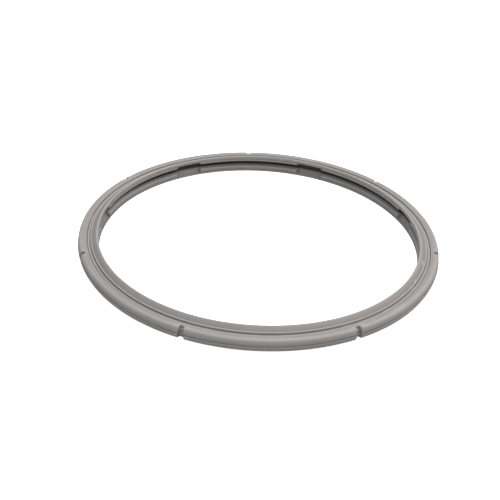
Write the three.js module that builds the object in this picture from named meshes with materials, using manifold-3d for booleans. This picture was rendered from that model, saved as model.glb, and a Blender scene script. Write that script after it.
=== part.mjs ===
// Sealing ring for the lid of a stovetop pressure cooker, moulded in one piece from silicone rubber.
// Millimetres, +Z up. The ring lies flat on z = 0, its axis is Z, and the middle of one outer notch
// faces +Y.
//
// The section, from the outside in: a bead with a thin flange below it, a groove, and an upper lip
// that rises towards the hole and ends in a small hook. Under the upper lip a channel opens towards
// the hole, and the lower lip closes it from below. Outer notches let steam past the bead, and inner
// pockets, midway between them, open the channel's mouth.
import * as THREE from 'three';
import { mergeVertices } from 'three/addons/utils/BufferGeometryUtils.js';
import Module from 'manifold-3d';

// Overall sizes
const ringDiameter = 236; // across the flange, the widest line
const sectionWidth = 13.4; // radial, from the flange to the lower lip
const sectionHeight = 12.2; // from the resting face to the crest of the upper lip

// Bead and flange
const beadRadius = 3.1;
const beadInset = 0.4; // the bead's side stands this far inside the flange
const beadDrop = 1.6; // from the crest down to the bead's top
const beadSideLength = 0.65; // straight side between the bead's rounding and the flange
const beadInnerTurn = 44; // degrees that the bead's rounding runs on past its top
const beadSteps = 7;
const flangeLedge = 0.4; // height of the slope from the bead's side out to the flange edge
const flangeLean = 0.8; // the flange's face leans in by this much at its bottom
const flangeBaseHeight = 2.9;

// Groove and upper lip
const grooveDepth = 1.5; // below the bead's top
const upperLipWidth = 5.2; // from the lower lip's inner face to the foot of the upper lip
const lipWallHeight = 0.75; // outer wall of the upper lip above the groove
const lipThickness = 2.6;
const lipSetback = 0.45; // the upper lip ends this far outside the lower lip
const crestWidth = 1.0; // from the upper lip's end to its crest
const hookLength = 1.3; // how far the hook hangs below the lip
const hookWidth = 1.1;

// Channel and lower lip
const channelDepth = 6.4; // from the lower lip's inner face to the channel's back
const channelMouth = 4.5; // free height between the two lips at the mouth
const channelFloorRise = 2.3; // the floor rises by this much from the mouth to the back
const lipEdge = 0.35; // rounding of the small edges
const footWidth = 6.8; // flat resting face
const footHeight = 2.2; // the foot's outer wall, up to the flange's underside
const footLean = 0.9;

// Outer notches
const notchCount = 7;
const notchWidth = 2.9;
const notchDepth = 3.6; // radial, from the flange edge to the notch's end wall
const notchFloorDepth = 1.95; // below the bead's surface

// Inner pockets
const pocketLength = 20; // along the lower lip's inner face
const pocketLedgeWidth = 0.6; // radial, the thin ledge left in front of each pocket
const pocketLedgeHeight = 0.9;

const segmentsPerPitch = 16; // facets of the ring between one notch and the next
const cutClearance = 2; // how far each cutting tool runs past the surface it cuts

const outerRadius = ringDiameter / 2;
const innerRadius = outerRadius - sectionWidth;
const segments = notchCount * segmentsPerPitch;
const pitch = (2 * Math.PI) / notchCount;

const beadTopHeight = sectionHeight - beadDrop;
const beadCentre = { r: outerRadius - beadInset - beadRadius, z: beadTopHeight - beadRadius };
const lipEnd = innerRadius + lipSetback;
const roofHeight = sectionHeight - lipThickness; // underside of the upper lip, behind the hook
const hookHeight = roofHeight - hookLength;
const lowerLipHeight = hookHeight - channelMouth;
const channelBack = innerRadius + channelDepth;
const floorBackHeight = lowerLipHeight + channelFloorRise;

const point = (r, z) => new THREE.Vector2(r, z);

// Points on an arc about a centre; angles in degrees, 0 pointing outwards and 90 up.
function arc(centre, radius, fromAngle, toAngle, steps) {
  const points = [];
  for (let i = 0; i <= steps; i += 1) {
    const angle = THREE.MathUtils.degToRad(fromAngle + ((toAngle - fromAngle) * i) / steps);
    points.push(point(centre.r + radius * Math.cos(angle), centre.z + radius * Math.sin(angle)));
  }
  return points;
}

// The closed section of the ring, as (radius, height), anticlockwise from the resting face.
function ringSection() {
  const lipFoot = innerRadius + upperLipWidth;
  const footEdge = innerRadius + lipEdge + footWidth;
  const grooveHeight = beadTopHeight - grooveDepth;
  const shoulderHeight = grooveHeight + lipWallHeight;
  const roofBackHeight = Math.max(grooveHeight - lipThickness, floorBackHeight) + lipEdge;
  const beadSideHeight = beadCentre.z - beadSideLength;
  return [
    // resting face, foot and underside of the flange
    point(innerRadius + lipEdge, 0),
    point(footEdge, 0),
    point(footEdge + footLean, footHeight),
    point(outerRadius - flangeLean - lipEdge, flangeBaseHeight - lipEdge / 2),
    // flange and bead
    point(outerRadius - flangeLean, flangeBaseHeight),
    point(outerRadius, beadSideHeight - flangeLedge),
    point(outerRadius - beadInset, beadSideHeight),
    ...arc(beadCentre, beadRadius, 0, 90 + beadInnerTurn, beadSteps),
    // groove and upper lip
    point(lipFoot, grooveHeight),
    point(lipFoot - lipEdge, shoulderHeight - lipEdge / 2),
    point(lipFoot - 2 * lipEdge, shoulderHeight),
    point(lipEnd + crestWidth + lipEdge, sectionHeight - lipEdge / 2),
    point(lipEnd + crestWidth, sectionHeight),
    point(lipEnd + lipEdge, sectionHeight - lipEdge),
    point(lipEnd, hookHeight + lipEdge),
    // hook, channel and lower lip
    point(lipEnd + lipEdge, hookHeight),
    point(lipEnd + hookWidth, hookHeight + lipEdge),
    point(lipEnd + hookWidth + lipEdge, roofHeight),
    point(channelBack, roofBackHeight),
    point(channelBack, floorBackHeight),
    point(innerRadius + 2 * lipEdge, lowerLipHeight),
    point(innerRadius, lowerLipHeight - 2 * lipEdge),
    point(innerRadius, lipEdge),
  ];
}

// What the pockets remove from the section: the hook, and the lower lip down to its thin ledge.
function pocketSection() {
  return [
    point(innerRadius - cutClearance, pocketLedgeHeight),
    point(innerRadius + pocketLedgeWidth, pocketLedgeHeight),
    point(channelBack - lipEdge, floorBackHeight + lipEdge),
    point(lipEnd + hookWidth + lipEdge, roofHeight),
    point(innerRadius - cutClearance, roofHeight),
  ];
}

// What a notch removes: a channel that follows the bead's rounding and then the flange's face.
function notchSection() {
  const end = outerRadius - notchDepth;
  const floorRadius = beadRadius - notchFloorDepth;
  const endAngle = THREE.MathUtils.radToDeg(Math.acos((end - beadCentre.r) / floorRadius));
  const clear = outerRadius + cutClearance;
  return [
    point(clear, beadTopHeight + cutClearance),
    point(end, beadTopHeight + cutClearance),
    ...arc(beadCentre, floorRadius, endAngle, 0, beadSteps),
    point(beadCentre.r + floorRadius - flangeLean, 0),
    point(clear, 0),
  ];
}

// A section as (radius, height) turned once about Z.
function turned(section) {
  return new THREE.LatheGeometry([...section, section[0]], segments).rotateX(Math.PI / 2);
}

// A section as (radius, height) made into a slab across +Y, then turned about Z.
function slab(section, width, angle) {
  const geometry = new THREE.ExtrudeGeometry(new THREE.Shape(section), { depth: width, bevelEnabled: false });
  return geometry.translate(0, 0, -width / 2).rotateX(Math.PI / 2).rotateZ(Math.PI / 2 + angle);
}

// A wedge about +Y between two planes through the axis, then turned about Z.
function wedge(halfAngle, angle) {
  const near = innerRadius / 2;
  const far = ringDiameter;
  const spread = Math.tan(halfAngle);
  const outline = [
    point(-near * spread, near),
    point(near * spread, near),
    point(far * spread, far),
    point(-far * spread, far),
  ];
  return new THREE.ExtrudeGeometry(new THREE.Shape(outline), { depth: sectionHeight, bevelEnabled: false })
    .rotateZ(angle);
}

const wasm = await Module();
wasm.setup();

function solidOf(geometry) {
  geometry.deleteAttribute('normal');
  geometry.deleteAttribute('uv');
  const merged = mergeVertices(geometry);
  const vertProperties = new Float32Array(merged.attributes.position.array);
  const triVerts = new Uint32Array(merged.index.array);
  return new wasm.Manifold(new wasm.Mesh({ numProp: 3, vertProperties, triVerts }));
}

function geometryOf(solid) {
  const { vertProperties, triVerts } = solid.getMesh();
  const geometry = new THREE.BufferGeometry();
  geometry.setAttribute('position', new THREE.BufferAttribute(vertProperties, 3));
  geometry.setIndex(new THREE.BufferAttribute(triVerts, 1));
  const facets = geometry.toNonIndexed();
  facets.computeVertexNormals();
  return facets;
}

function sealingRing() {
  let ring = solidOf(turned(ringSection()));
  const pocketBand = solidOf(turned(pocketSection()));
  const pocketHalfAngle = pocketLength / innerRadius / 2;
  for (let i = 0; i < notchCount; i += 1) {
    const notch = solidOf(slab(notchSection(), notchWidth, i * pitch));
    const pocket = pocketBand.intersect(solidOf(wedge(pocketHalfAngle, (i + 0.5) * pitch)));
    ring = ring.subtract(notch).subtract(pocket);
  }
  const silicone = new THREE.MeshStandardMaterial({ color: 0xaaa6a3, roughness: 0.55, metalness: 0 });
  const mesh = new THREE.Mesh(geometryOf(ring), silicone);
  mesh.name = 'sealing_ring';
  return mesh;
}

const part = new THREE.Group();
part.add(sealingRing());

export default part;
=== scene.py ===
# Moulded silicone sealing ring for a pressure cooker lid, lying on a pale studio table.
import bpy, bmesh, math
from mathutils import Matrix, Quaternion, Vector


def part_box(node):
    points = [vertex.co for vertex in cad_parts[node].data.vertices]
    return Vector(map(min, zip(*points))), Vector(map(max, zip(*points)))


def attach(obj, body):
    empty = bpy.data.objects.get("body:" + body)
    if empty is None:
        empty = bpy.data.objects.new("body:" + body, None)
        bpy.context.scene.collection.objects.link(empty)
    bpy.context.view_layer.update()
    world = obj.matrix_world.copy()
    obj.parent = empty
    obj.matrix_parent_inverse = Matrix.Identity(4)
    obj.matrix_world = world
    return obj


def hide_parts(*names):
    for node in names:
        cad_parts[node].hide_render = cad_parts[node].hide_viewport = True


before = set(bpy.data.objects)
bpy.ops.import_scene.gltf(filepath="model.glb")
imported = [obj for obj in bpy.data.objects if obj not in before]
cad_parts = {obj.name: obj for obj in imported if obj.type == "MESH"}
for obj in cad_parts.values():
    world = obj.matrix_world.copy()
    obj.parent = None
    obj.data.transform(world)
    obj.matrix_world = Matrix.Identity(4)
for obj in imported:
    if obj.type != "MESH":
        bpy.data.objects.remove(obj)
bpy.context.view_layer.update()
ringLow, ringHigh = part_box("sealing_ring")
mm = 0.001
print("frame loaded:", [round(v / mm, 2) for v in ringHigh - ringLow], "mm")

camera = {
    "lens": 67.3,
    "place": (-53.1, -524.7, 328.4),  # mm
    "azimuth": -5.19,  # degrees, turned from looking along +Y
    "pitch": 32.30,  # looking down
    "roll": 3.06,
    "clip": (0.01, 20),  # m
}


def makeCamera(s):
    data = bpy.data.cameras.new("camera")
    data.lens = s["lens"]
    data.clip_start, data.clip_end = s["clip"]
    cam = bpy.data.objects.new("camera", data)
    bpy.context.collection.objects.link(cam)
    turn, dip = math.radians(s["azimuth"]), math.radians(s["pitch"])
    look = Vector((-math.sin(turn) * math.cos(dip), math.cos(turn) * math.cos(dip), -math.sin(dip)))
    cam.location = Vector(s["place"]) * mm
    cam.rotation_mode = "QUATERNION"
    cam.rotation_quaternion = look.to_track_quat("-Z", "Y") @ Quaternion((0, 0, 1), math.radians(s["roll"]))
    bpy.context.scene.camera = cam


makeCamera(camera)

ring = {
    "pitches": 7,  # notches round the bead, with a pocket midway between each two
    "beadCentre": (3.5, 7.5),  # mm in from the flange edge, mm up
    "beadRadius": 3.15,
    "beadFlat": (0.49, 35, 62),  # mm lower than round at the top; from this many degrees, over this many
    "beadTurn": (-30, 118),  # degrees where the bead's round starts above the flange and ends at the groove
    "beadSteps": (6, 2, 5),  # degrees between points: before the notch's end wall, on it, and after it
    "notchDepth": 1.95,
    "notchEnd": (80, 96),  # the end wall, in degrees round the bead
    "notchHalf": 1.35,  # mm along the rim, to the middle of the notch's side
    "notchEdge": 0.70,  # mm over which the side turns down
    "notchFlare": 0.45,  # mm that each side stands wider at the flange
    "flareTop": 5.0,  # mm up, where the flare starts to run out
    "pocketHalf": 5.45,  # degrees, to the pocket's end wall
    "pocketEdge": 0.22,  # degrees
    "pocketLean": [(0.9, 0.6), (4.1, -0.5), (8.0, 0.35)],  # mm up, degrees that the end wall stands wider
    "leanFade": 2.2,  # degrees beside a side over which its lean runs out
    # the ring is soft, so its cuts sit off their even places: degrees clockwise from +Y, degrees off
    "drift": [
        (0, 0), (20, -0.7), (77, 0), (128, 0), (154, 0.5), (206, 0.5), (257, -0.75), (309, 0), (360, 0),
    ],
    "cornerSteps": 3,
    # spin steps over the halves of a notch and a pocket, their sides, and the plain stretch between them
    "steps": {"notch": 2, "notchSide": 8, "plain": 19, "pocketSide": 6, "pocket": 7},
    "weld": 0.002,  # mm
}


def smooth(x):
    x = min(max(x, 0), 1)
    return x * x * (3 - 2 * x)


def mix(a, b, share):
    return a + (b - a) * share


def along(points, x):
    for (x0, y0), (x1, y1) in zip(points, points[1:]):
        if x <= x1:
            return mix(y0, y1, min(max((x - x0) / (x1 - x0), 0), 1))
    return points[-1][1]


def fade(degrees, reach):
    return max(0, 1 - abs(degrees) / reach)


def roundCorner(before, corner, after, radius, steps):
    a, b = (before - corner), (after - corner)
    half = a.angle(b) / 2
    most = 0.48  # of a side, so that the roundings at its two ends never meet
    reach = min(radius / math.tan(half), most * a.length, most * b.length)
    start, end = corner + a.normalized() * reach, corner + b.normalized() * reach
    points = []
    for i in range(steps + 1):
        t = i / steps
        weight = math.sin(half)  # a conic with this weight is a circle's arc
        w0, w1, w2 = (1 - t) ** 2, 2 * t * (1 - t) * weight, t**2
        points.append((start * w0 + corner * w1 + end * w2) / (w0 + w1 + w2))
    return points


def ringSection(s, notch, pocket):
    outer, top = ringHigh.x / mm, ringHigh.z / mm
    # each corner, in mm: how far in from the flange edge, height, rounding
    under = [
        (13.15, 0.0, 0.4),  # foot
        (6.3, 0.0, 0.3),
        (5.5, 2.3, 0.6),  # flange, from its underside up
        (mix(1.6, 2.9, notch), mix(2.3, 2.5, notch), 0.3),
        (mix(1.0, 2.6, notch), mix(2.6, 2.9, notch), 0.25),
        (mix(0.25, 2.1, notch), 4.1, 0.3),
        (mix(0.0, 1.95, notch), 5.55, 0.2),
        (mix(0.0, 1.95, notch), 5.85, 0.1),
        (mix(0.85, 2.1, notch), 5.95, 0.1),
    ]
    lips = [
        (5.6, 9.7, 0.3),  # groove, with a shelf between two creases
        (5.85, 8.4, 0.1),
        (6.25, 8.4, 0.1),
        (6.4, 9.1, 0.4),
        (7.3, 9.0, 0.4),
        (7.5, 8.7, 0.1),
        (8.0, 8.7, 0.1),
        (8.25, 10.02, 0.12),  # upper lip
        (9.2, 10.0, 0.2),
        (9.9, 10.51, 0),  # two plain points, so that the pale colour of the painted edge highlight stops near the edges
        (11.5, 11.69, 0),
        (12.2, top, 0.25),
        (13.0, top - 0.35, 0.2),
        (13.0, 10.0, 0.3),  # hook
        (mix(12.75, 12.9, pocket), mix(9.75, 9.7, pocket), 0.12),
        (mix(13.15, 12.9, pocket), mix(9.45, 9.65, pocket), 0.2),
        (mix(13.15, 12.8, pocket), mix(8.3, 9.6, pocket), 0.25),
        (mix(12.3, 12.4, pocket), mix(8.2, 9.6, pocket), 0.25),
        (11.7, 9.4, 0.4),  # channel
        (5.6, 7.4, 0.4),
        (5.6, 4.2, 0.4),
        (8.6, 3.6, 0.4),
        (9.1, mix(5.6, 5.9, pocket), 0.2),
        (mix(12.6, 12.4, pocket), mix(4.2, 1.4, pocket), mix(0.4, 1.5, pocket)),  # lower lip
        (mix(13.2, 13.0, pocket), mix(3.95, 0.95, pocket), mix(0.3, 0.2, pocket)),
        (mix(13.1, 13.2, pocket), mix(1.2, 0.95, pocket), 0.1),
        (13.4, 0.9, 0.15),
    ]
    centre = Vector((outer - s["beadCentre"][0], s["beadCentre"][1]))
    flat, flatStart, flatTurn = s["beadFlat"]
    start, end = s["notchEnd"]
    low, high = s["beadTurn"]
    coarse, fine, inner = s["beadSteps"]
    degrees = [*range(low, start, coarse), *range(start, end, fine), *range(end, high + 1, inner)]
    bead = []
    for d in degrees:
        depth = s["notchDepth"] * notch * (1 - smooth((d - start) / (end - start)))
        a = math.radians(d)
        radius = s["beadRadius"] - flat * smooth((d - flatStart) / flatTurn)
        bead.append(centre + Vector((math.cos(a), math.sin(a))) * (radius - depth))
    corners = [(Vector((outer - i, z)), r) for i, z, r in under]
    corners += [(p, 0) for p in bead]
    corners += [(Vector((outer - i, z)), r) for i, z, r in lips]
    points = []
    for k, (corner, radius) in enumerate(corners):
        if radius:
            before, after = corners[k - 1][0], corners[(k + 1) % len(corners)][0]
            points += roundCorner(before, corner, after, radius, s["cornerSteps"])
        else:
            points.append(corner)
    return points


def makeRing(s):
    pitch = 360 / s["pitches"]
    rim = ringHigh.x / mm
    notchIn = math.degrees((s["notchHalf"] - s["notchEdge"] / 2) / rim)
    notchOut = math.degrees((s["notchHalf"] + s["notchEdge"] / 2) / rim)
    pocketIn, pocketOut = s["pocketHalf"] - s["pocketEdge"] / 2, s["pocketHalf"] + s["pocketEdge"] / 2
    plain = pitch / 2 - notchOut - pocketOut
    stretches = {
        "notch": notchIn,
        "notchSide": notchOut - notchIn,
        "plain": plain,
        "pocketSide": pocketOut - pocketIn,
        "pocket": pocketIn,
    }
    halfPitch = [(stretch, s["steps"][name]) for name, stretch in stretches.items()]
    flare = math.degrees(s["notchFlare"] / rim)

    bm = bmesh.new()
    order = bm.verts.layers.int.new("sectionPoint")
    outline = [bm.verts.new((0, p.x * mm, p.y * mm)) for p in ringSection(s, 0, 0)]
    for i, v in enumerate(outline):
        v[order] = i
    edges = [bm.edges.new((v, outline[(i + 1) % len(outline)])) for i, v in enumerate(outline)]
    last = outline + edges
    for stretch, steps in (halfPitch + halfPitch[::-1]) * s["pitches"]:
        made = bmesh.ops.spin(bm, geom=last, cent=(0, 0, 0), axis=(0, 0, 1), dvec=(0, 0, 0),
                              angle=math.radians(stretch), steps=steps, use_merge=False, use_duplicate=False)
        last = made["geom_last"]
    bmesh.ops.remove_doubles(bm, verts=bm.verts, dist=s["weld"] * mm)

    sections = {}
    for v in bm.verts:  # each ring of vertices takes the section that belongs at its own angle
        turn = math.atan2(v.co.x, v.co.y)
        side = (math.degrees(turn) + pitch / 2) % pitch - pitch / 2
        off = abs(side)
        notch = 1 - smooth((off - notchIn) / (notchOut - notchIn))
        pocket = 1 - smooth((pitch / 2 - off - pocketIn) / (pocketOut - pocketIn))
        key = (round(notch, 4), round(pocket, 4))
        if key not in sections:
            sections[key] = ringSection(s, *key)
        p = sections[key][v[order]]
        # the sides of notches and pockets lean, and the shift fades out beside them
        lean = flare * (1 - smooth((p.y - s["flareTop"]) / s["beadRadius"]))
        lean *= fade(off - (notchIn + notchOut) / 2, s["leanFade"])
        lean -= along(s["pocketLean"], p.y) * fade(pitch / 2 - off - s["pocketHalf"], s["leanFade"])
        turn += math.radians(math.copysign(lean, side) + along(s["drift"], math.degrees(turn) % 360))
        v.co = Vector((math.sin(turn) * p.x, math.cos(turn) * p.x, p.y)) * mm
    bmesh.ops.recalc_face_normals(bm, faces=bm.faces)
    mesh = bpy.data.meshes.new("silicone_ring")
    bm.to_mesh(mesh)
    bm.free()
    for f in mesh.polygons:
        f.use_smooth = True
    piece = bpy.data.objects.new("silicone_ring", mesh)
    bpy.context.collection.objects.link(piece)
    triangles = sum(len(f.vertices) - 2 for f in mesh.polygons)
    print("ring made:", len(mesh.vertices), "vertices,", triangles, "triangles")
    return piece


silicone = {
    "colours": [(0.295, 0.279, 0.268, 1), (0.34, 0.322, 0.31, 1)],  # darker and lighter streaks
    "colourRange": (0.65, 1.35),  # what streaks and clouds add up to at those two colours
    "ior": 1.41,
    "roughness": (0.46, 0.60),
    "roughRange": (0.3, 0.7),  # the grain's noise at those two
    "streaks": 900,  # across the flow lines round the ring, per m
    "streakDrift": 45,  # along them, per m
    "clouds": 28,  # slow change of shade, per m
    "grain": 3200,  # fine moulded surface, per m
    "detail": {"streaks": 3, "clouds": 4, "grain": 2},  # layers of noise
    "grainDepth": 0.012,  # mm
    "streakDepth": 0.02,  # mm
    "edges": [(0.493, 0.74), (0.512, 1.16)],  # pointiness, times the colour: painted shade in creases and painted highlights on edges
    "channel": (109.8, 6.1),  # mm, radius and height of the channel's middle
    "channelReach": (3.2, 2.3),  # mm
    "channelFade": (0.6, 1.1),  # of the reach, from fully shaded to not at all
    "channelPaintedShade": 0.15,  # times the colour: painted shade, so that the channel's inside stays dark
}


def makeSilicone(s):
    mat = bpy.data.materials.new("grey_silicone")
    mat.use_nodes = True
    nodes, links = mat.node_tree.nodes, mat.node_tree.links
    shader = nodes["Principled BSDF"]
    shader.inputs["IOR"].default_value = s["ior"]

    place = nodes.new("ShaderNodeTexCoord")
    axes = nodes.new("ShaderNodeSeparateXYZ")
    links.new(place.outputs["Object"], axes.inputs[0])
    flat = nodes.new("ShaderNodeCombineXYZ")
    links.new(axes.outputs["X"], flat.inputs["X"])
    links.new(axes.outputs["Y"], flat.inputs["Y"])
    radius = nodes.new("ShaderNodeVectorMath")
    radius.operation = "LENGTH"
    links.new(flat.outputs[0], radius.inputs[0])
    around = nodes.new("ShaderNodeCombineXYZ")  # radius and height: lines that follow the ring
    links.new(radius.outputs["Value"], around.inputs["X"])
    links.new(axes.outputs["Z"], around.inputs["Y"])
    across = nodes.new("ShaderNodeVectorMath")
    across.operation = "SCALE"
    across.inputs["Scale"].default_value = s["streaks"]
    links.new(around.outputs[0], across.inputs[0])
    drift = nodes.new("ShaderNodeVectorMath")
    drift.operation = "SCALE"
    drift.inputs["Scale"].default_value = s["streakDrift"]
    links.new(flat.outputs[0], drift.inputs[0])
    flow = nodes.new("ShaderNodeVectorMath")
    flow.operation = "ADD"
    links.new(across.outputs[0], flow.inputs[0])
    links.new(drift.outputs[0], flow.inputs[1])

    def noise(vector, scale, detail):
        n = nodes.new("ShaderNodeTexNoise")
        n.inputs["Scale"].default_value = scale
        n.inputs["Detail"].default_value = detail
        links.new(vector, n.inputs["Vector"])
        return n.outputs["Fac"]

    streaks = noise(flow.outputs[0], 1, s["detail"]["streaks"])
    clouds = noise(place.outputs["Object"], s["clouds"], s["detail"]["clouds"])
    grain = noise(place.outputs["Object"], s["grain"], s["detail"]["grain"])

    blend = nodes.new("ShaderNodeMath")
    blend.operation = "ADD"
    links.new(streaks, blend.inputs[0])
    links.new(clouds, blend.inputs[1])
    shade = nodes.new("ShaderNodeMapRange")
    shade.inputs["From Min"].default_value, shade.inputs["From Max"].default_value = s["colourRange"]
    links.new(blend.outputs[0], shade.inputs["Value"])
    colour = nodes.new("ShaderNodeMix")
    colour.data_type = "RGBA"
    links.new(shade.outputs["Result"], colour.inputs["Factor"])
    colour.inputs[6].default_value, colour.inputs[7].default_value = s["colours"]  # its colour sockets
    # painted shade and highlight: pointiness darkens the colour in creases and lightens it on edges
    creaseShadeEdgeHighlight = nodes.new("ShaderNodeMapRange")
    (low, dull), (high, pale) = s["edges"]
    creaseShadeEdgeHighlight.inputs["From Min"].default_value, creaseShadeEdgeHighlight.inputs["From Max"].default_value = low, high
    creaseShadeEdgeHighlight.inputs["To Min"].default_value, creaseShadeEdgeHighlight.inputs["To Max"].default_value = dull, pale
    links.new(nodes.new("ShaderNodeNewGeometry").outputs["Pointiness"], creaseShadeEdgeHighlight.inputs["Value"])
    # painted shade: the colour is darkened round the channel's middle, where shade falls inside the channel
    inside = nodes.new("ShaderNodeVectorMath")
    inside.operation = "SUBTRACT"
    inside.inputs[1].default_value = (s["channel"][0] * mm, s["channel"][1] * mm, 0)
    links.new(around.outputs[0], inside.inputs[0])
    oval = nodes.new("ShaderNodeVectorMath")
    oval.operation = "DIVIDE"
    oval.inputs[1].default_value = (s["channelReach"][0] * mm, s["channelReach"][1] * mm, 1)
    links.new(inside.outputs[0], oval.inputs[0])
    far = nodes.new("ShaderNodeVectorMath")
    far.operation = "LENGTH"
    links.new(oval.outputs[0], far.inputs[0])
    paintedChannelShade = nodes.new("ShaderNodeMapRange")
    paintedChannelShade.inputs["From Min"].default_value, paintedChannelShade.inputs["From Max"].default_value = s["channelFade"]
    paintedChannelShade.inputs["To Min"].default_value = s["channelPaintedShade"]
    links.new(far.outputs["Value"], paintedChannelShade.inputs["Value"])
    both = nodes.new("ShaderNodeMath")
    both.operation = "MULTIPLY"
    links.new(creaseShadeEdgeHighlight.outputs["Result"], both.inputs[0])
    links.new(paintedChannelShade.outputs["Result"], both.inputs[1])
    tone = nodes.new("ShaderNodeVectorMath")
    tone.operation = "SCALE"
    links.new(colour.outputs[2], tone.inputs[0])
    links.new(both.outputs[0], tone.inputs["Scale"])
    links.new(tone.outputs[0], shader.inputs["Base Color"])

    satin = nodes.new("ShaderNodeMapRange")
    satin.inputs["From Min"].default_value, satin.inputs["From Max"].default_value = s["roughRange"]
    satin.inputs["To Min"].default_value, satin.inputs["To Max"].default_value = s["roughness"]
    links.new(grain, satin.inputs["Value"])
    links.new(satin.outputs["Result"], shader.inputs["Roughness"])

    fine = nodes.new("ShaderNodeBump")
    fine.inputs["Distance"].default_value = s["grainDepth"] * mm
    links.new(grain, fine.inputs["Height"])
    lines = nodes.new("ShaderNodeBump")
    lines.inputs["Distance"].default_value = s["streakDepth"] * mm
    links.new(streaks, lines.inputs["Height"])
    links.new(fine.outputs["Normal"], lines.inputs["Normal"])
    links.new(lines.outputs["Normal"], shader.inputs["Normal"])
    print("silicone mixed:", len(nodes), "nodes")
    return mat


siliconeRing = makeRing(ring)
siliconeRing.data.materials.append(makeSilicone(silicone))
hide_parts("sealing_ring")
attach(siliconeRing, "root")

studio = {
    "table": 12.0,  # m across
    "tableColour": (0.5, 0.52, 0.525, 1),  # as the ring sees it, so that its undersides stay dark
    "tableWhite": (1, 1, 1, 1),  # as the camera sees it
    "tableGlow": 0.95,
    "tableRoughness": 0.8,
    "worldWhite": (1, 1, 1, 1),
    "world": 0.30,  # strength
    # lamps: degrees clockwise from +Y, degrees up, m away, m across, W
    "lamps": {
        "overhead": {"turn": 25, "rise": 74, "away": 1.6, "size": 1.8, "power": 29},
        "right": {"turn": 80, "rise": 45, "away": 1.6, "size": 1.2, "power": 4},
        "front": {"turn": 185, "rise": 24, "away": 1.8, "size": 1.2, "power": 5.5},
    },
}


def makeTable(s):
    bm = bmesh.new()
    bmesh.ops.create_grid(bm, x_segments=1, y_segments=1, size=s["table"] / 2)
    mesh = bpy.data.meshes.new("table")
    bm.to_mesh(mesh)
    bm.free()
    table = bpy.data.objects.new("table", mesh)
    bpy.context.collection.objects.link(table)
    mat = bpy.data.materials.new("white_table")
    mat.use_nodes = True
    nodes, links = mat.node_tree.nodes, mat.node_tree.links
    plain = nodes["Principled BSDF"]
    plain.inputs["Base Color"].default_value = s["tableColour"]
    plain.inputs["Roughness"].default_value = s["tableRoughness"]
    lit = nodes.new("ShaderNodeBsdfPrincipled")
    lit.inputs["Base Color"].default_value = s["tableWhite"]
    lit.inputs["Roughness"].default_value = s["tableRoughness"]
    lit.inputs["Emission Color"].default_value = s["tableWhite"]
    lit.inputs["Emission Strength"].default_value = s["tableGlow"]
    ray = nodes.new("ShaderNodeLightPath")
    both = nodes.new("ShaderNodeMixShader")
    links.new(ray.outputs["Is Camera Ray"], both.inputs[0])
    links.new(plain.outputs["BSDF"], both.inputs[1])
    links.new(lit.outputs["BSDF"], both.inputs[2])
    links.new(both.outputs["Shader"], nodes["Material Output"].inputs["Surface"])
    mesh.materials.append(mat)


def makeLights(s):
    scene = bpy.context.scene
    scene.world = bpy.data.worlds.new("studio")
    scene.world.use_nodes = True
    sky = scene.world.node_tree.nodes["Background"]
    sky.inputs["Color"].default_value = s["worldWhite"]
    sky.inputs["Strength"].default_value = s["world"]
    for name, lamp in s["lamps"].items():
        turn, rise = math.radians(lamp["turn"]), math.radians(lamp["rise"])
        away = Vector((math.sin(turn) * math.cos(rise), math.cos(turn) * math.cos(rise), math.sin(rise)))
        data = bpy.data.lights.new(name, "AREA")
        data.energy, data.size = lamp["power"], lamp["size"]
        light = bpy.data.objects.new(name, data)
        light.location = away * lamp["away"]
        light.rotation_mode = "QUATERNION"
        light.rotation_quaternion = away.to_track_quat("Z", "Y")
        bpy.context.collection.objects.link(light)
    scene.view_settings.view_transform = "Standard"
    print("studio lit:", len(s["lamps"]), "lamps")


makeTable(studio)
makeLights(studio)
